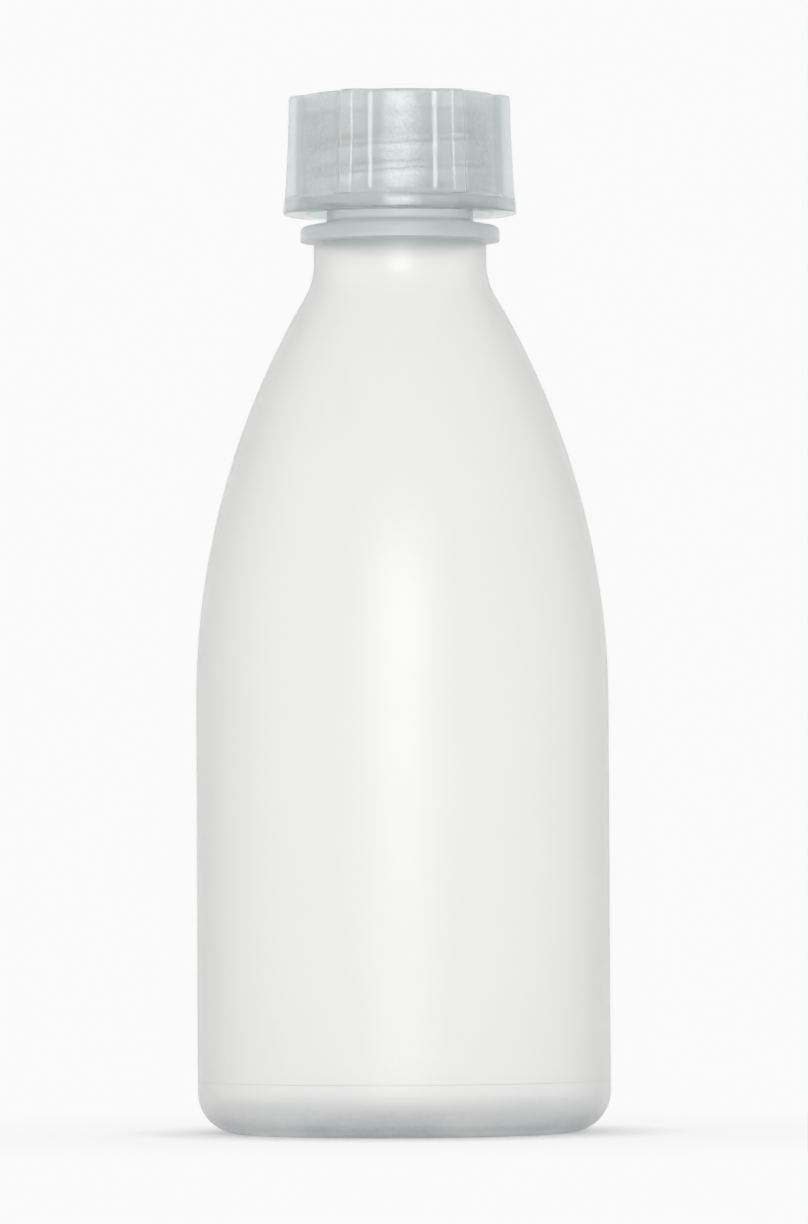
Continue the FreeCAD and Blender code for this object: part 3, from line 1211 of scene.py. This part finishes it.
@dataclass(frozen=True)
class Softbox:
    """Rectangular lamp that faces the bottle, placed by angles about it, with sizes in millimetres.

    A radiance of 1 is white. A lamp that isn't mirrored lights the plastic without showing in its gloss.
    """

    name: str
    azimuth_deg: float
    elevation_deg: float
    width: float
    height: float
    radiance: float
    mirrored: bool = True
    distance: float = 1700.0

    def hang(self, level: float) -> None:
        """Hang the lamp.

        Args:
            level: height of the point that it faces, on the axis of the bottle.
        """
        data = bpy.data.lights.new(self.name, "AREA")
        data.shape = "RECTANGLE"
        data.size, data.size_y = self.width * MM, self.height * MM
        data.energy = self.radiance * math.pi * data.size * data.size_y
        lamp = add_object(self.name, data)
        turn, rise = math.radians(self.azimuth_deg), math.radians(self.elevation_deg)
        way = Vector((math.sin(turn) * math.cos(rise), -math.cos(turn) * math.cos(rise), math.sin(rise)))
        lamp.location = way * self.distance * MM + Vector((0, 0, level * MM))
        lamp.rotation_euler = way.to_track_quat("Z", "Y").to_euler()
        lamp.visible_camera = False
        lamp.visible_glossy = self.mirrored
        lamp.visible_transmission = self.mirrored


# Azimuth and elevation, width and height, and radiance of each lamp.
LAMPS = (
    Softbox("front_softbox", 0, 12, 950, 720, 4.0),
    Softbox("left_fill", -75, 20, 1200, 1200, 0.3),
    Softbox("left_rim", -145, 8, 900, 1300, 1.6, mirrored=False),
    Softbox("right_rim", 145, 8, 900, 1300, 1.6, mirrored=False),
    Softbox("front_fill", 0, 6, 1600, 1000, 0.7, mirrored=False),
)


@dataclass
class Studio:
    """White surroundings, a pale floor and the camera, in millimetres and degrees.

    A level of 1 is white. The shadow share is how much of the floor's own shadow shows round the bottle, and
    the contact share how much shows at its base.
    """

    camera_distance: float = 1333.0
    camera_height: float = 46.2
    camera_side: float = 0.31
    target_height: float = 77.0
    lens: float = 264.7
    clip_start: float = 50.0
    roll_deg: float = -0.294
    white: float = 0.956
    behind: float = 1.1
    before: float = 0.5
    overhead: float = 0.5
    floor_glow: float = 0.8
    floor_colour: str = "#F6F6F6"
    shadow_share: float = 0.2
    shadow_reach: float = 120.0
    contact_share: float = 0.72
    contact_inner: float = 26.0
    contact_outer: float = 50.0
    floor_half: float = 6000.0

    def camera(self) -> None:
        """Set up the camera at the photograph's place."""
        data = bpy.data.cameras.new("front_camera")
        data.lens = self.lens
        data.clip_start = self.clip_start * MM
        camera = add_object("front_camera", data)
        camera.location = Vector((self.camera_side, -self.camera_distance, self.camera_height)) * MM
        target = Vector((self.camera_side, 0, self.target_height)) * MM
        aim = (target - camera.location).to_track_quat("-Z", "Y")
        roll = Quaternion((0, 0, 1), math.radians(self.roll_deg))
        camera.rotation_euler = (aim @ roll).to_euler()
        bpy.context.scene.camera = camera

    def seen_rays(self, tree: NodeTree) -> NodeSocket:
        """Say for a ray whether it shows the surroundings to the eye.

        Args:
            tree: node tree that asks.

        Returns:
            1 for camera, glossy and transmitted rays, otherwise 0.
        """
        path = add_node(tree, "ShaderNodeLightPath").outputs
        seen = path["Is Camera Ray"]
        for kind in ("Is Glossy Ray", "Is Transmission Ray"):
            seen = add_node(tree, "ShaderNodeMath", {0: seen, 1: path[kind]}, operation="MAXIMUM").outputs[0]
        return seen

    def world(self) -> None:
        """Make the surroundings, which show white and light the object most from behind."""
        world = bpy.data.worlds.new("white_surroundings")
        world.use_nodes = True
        tree = world.node_tree
        way = add_node(tree, "ShaderNodeTexCoord").outputs["Generated"]
        depth, height = add_node(tree, "ShaderNodeSeparateXYZ", {0: way}).outputs[1:]
        level = add_node(tree, "ShaderNodeMapRange", {
            "Value": depth, "From Min": -1.0, "To Min": self.before, "To Max": self.behind,
        })
        light = add_node(tree, "ShaderNodeMapRange", {
            "Value": height, "To Min": level.outputs[0], "To Max": self.overhead,
        })
        level = add_node(tree, "ShaderNodeMapRange", {
            "Value": self.seen_rays(tree), "To Min": light.outputs[0], "To Max": self.white,
        })
        tree.links.new(level.outputs[0], tree.nodes["Background"].inputs["Strength"])
        tree.nodes["Background"].inputs["Color"].default_value = (1, 1, 1, 1)
        bpy.context.scene.world = world

    def floor(self) -> bpy.types.Object:
        """Make the floor, which runs into the surroundings and keeps the bottle's shadow.

        Returns:
            The floor.
        """
        material = bpy.data.materials.new("floor_white_paper")
        material.use_nodes = True
        tree = material.node_tree
        tree.nodes.clear()
        level = add_node(tree, "ShaderNodeMapRange", {
            "Value": self.seen_rays(tree), "To Min": self.floor_glow, "To Max": self.white,
        })
        glow = add_node(tree, "ShaderNodeEmission", {"Strength": level.outputs[0]})
        paper = add_node(tree, "ShaderNodeBsdfDiffuse", {"Color": linear(self.floor_colour)})
        place = add_node(tree, "ShaderNodeTexCoord").outputs["Object"]
        away = add_node(tree, "ShaderNodeVectorMath", {0: place}, operation="LENGTH").outputs["Value"]
        share = add_node(tree, "ShaderNodeMapRange", {
            "Value": away,
            "From Max": self.shadow_reach * MM,
            "To Min": self.shadow_share,
            "To Max": 0.0,
        }, interpolation_type="SMOOTHSTEP")
        contact = add_node(tree, "ShaderNodeMapRange", {
            "Value": away,
            "From Min": self.contact_outer * MM,
            "From Max": self.contact_inner * MM,
            "To Max": self.contact_share,
        }, interpolation_type="SMOOTHSTEP")
        bare = add_node(tree, "ShaderNodeMath", {
            0: share.outputs[0], 1: contact.outputs[0],
        }, operation="MAXIMUM")
        mix = add_node(tree, "ShaderNodeMixShader", {
            0: bare.outputs[0], 1: glow.outputs[0], 2: paper.outputs[0],
        })
        add_node(tree, "ShaderNodeOutputMaterial", {"Surface": mix.outputs[0]})
        half = self.floor_half * MM
        corners = [(x * half, y * half, 0) for x, y in ((-1, -1), (1, -1), (1, 1), (-1, 1))]
        mesh = bpy.data.meshes.new("floor")
        mesh.from_pydata(corners, [], [(0, 1, 2, 3)])
        mesh.materials.append(material)
        return add_object("floor", mesh)

    def build(self) -> None:
        """Set up the whole studio."""
        self.camera()
        self.world()
        self.floor()
        for lamp in LAMPS:
            lamp.hang(self.target_height)
        bpy.context.scene.view_settings.view_transform = "Standard"


def hand_over(piece: bpy.types.Object, body: str, replaced: str | None = None) -> None:
    """Hand a finished piece to the frame.

    Args:
        piece: finished object.
        body: body that it moves with.
        replaced: CAD node that it stands for, if there is one.
    """
    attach(piece, body)
    if replaced:
        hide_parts(replaced)
    LOG.info("%s: %d faces, on %s", piece.name, len(piece.data.polygons), body)


def main() -> None:
    """Build the pieces and the studio."""
    logging.basicConfig(level=logging.INFO)
    tree = MouldingTree()
    ldpe = BLOWN_LDPE.material()
    body_radius, _, lip_level = extent_of("bottle")
    bottle = Bottle(body_radius, lip_level)
    hand_over(bottle.build(tree, ldpe), "bottle", "bottle")
    hand_over(BaseWeld(bottle).build(ldpe), "bottle")
    disc = SealingDisc(*extent_of("sealing_disc"))
    hand_over(disc.build(tree, PUNCHED_PE.material()), "sealing_disc", "sealing_disc")
    collar_reach, bottom, crown_level = extent_of("screw_cap")
    cap = ScrewCap(bottom, crown_level, disc.top, collar_reach)
    hand_over(cap.build(tree, MOULDED_PP.material()), "screw_cap", "screw_cap")
    Studio().build()


if __name__ == "__main__":
    main()
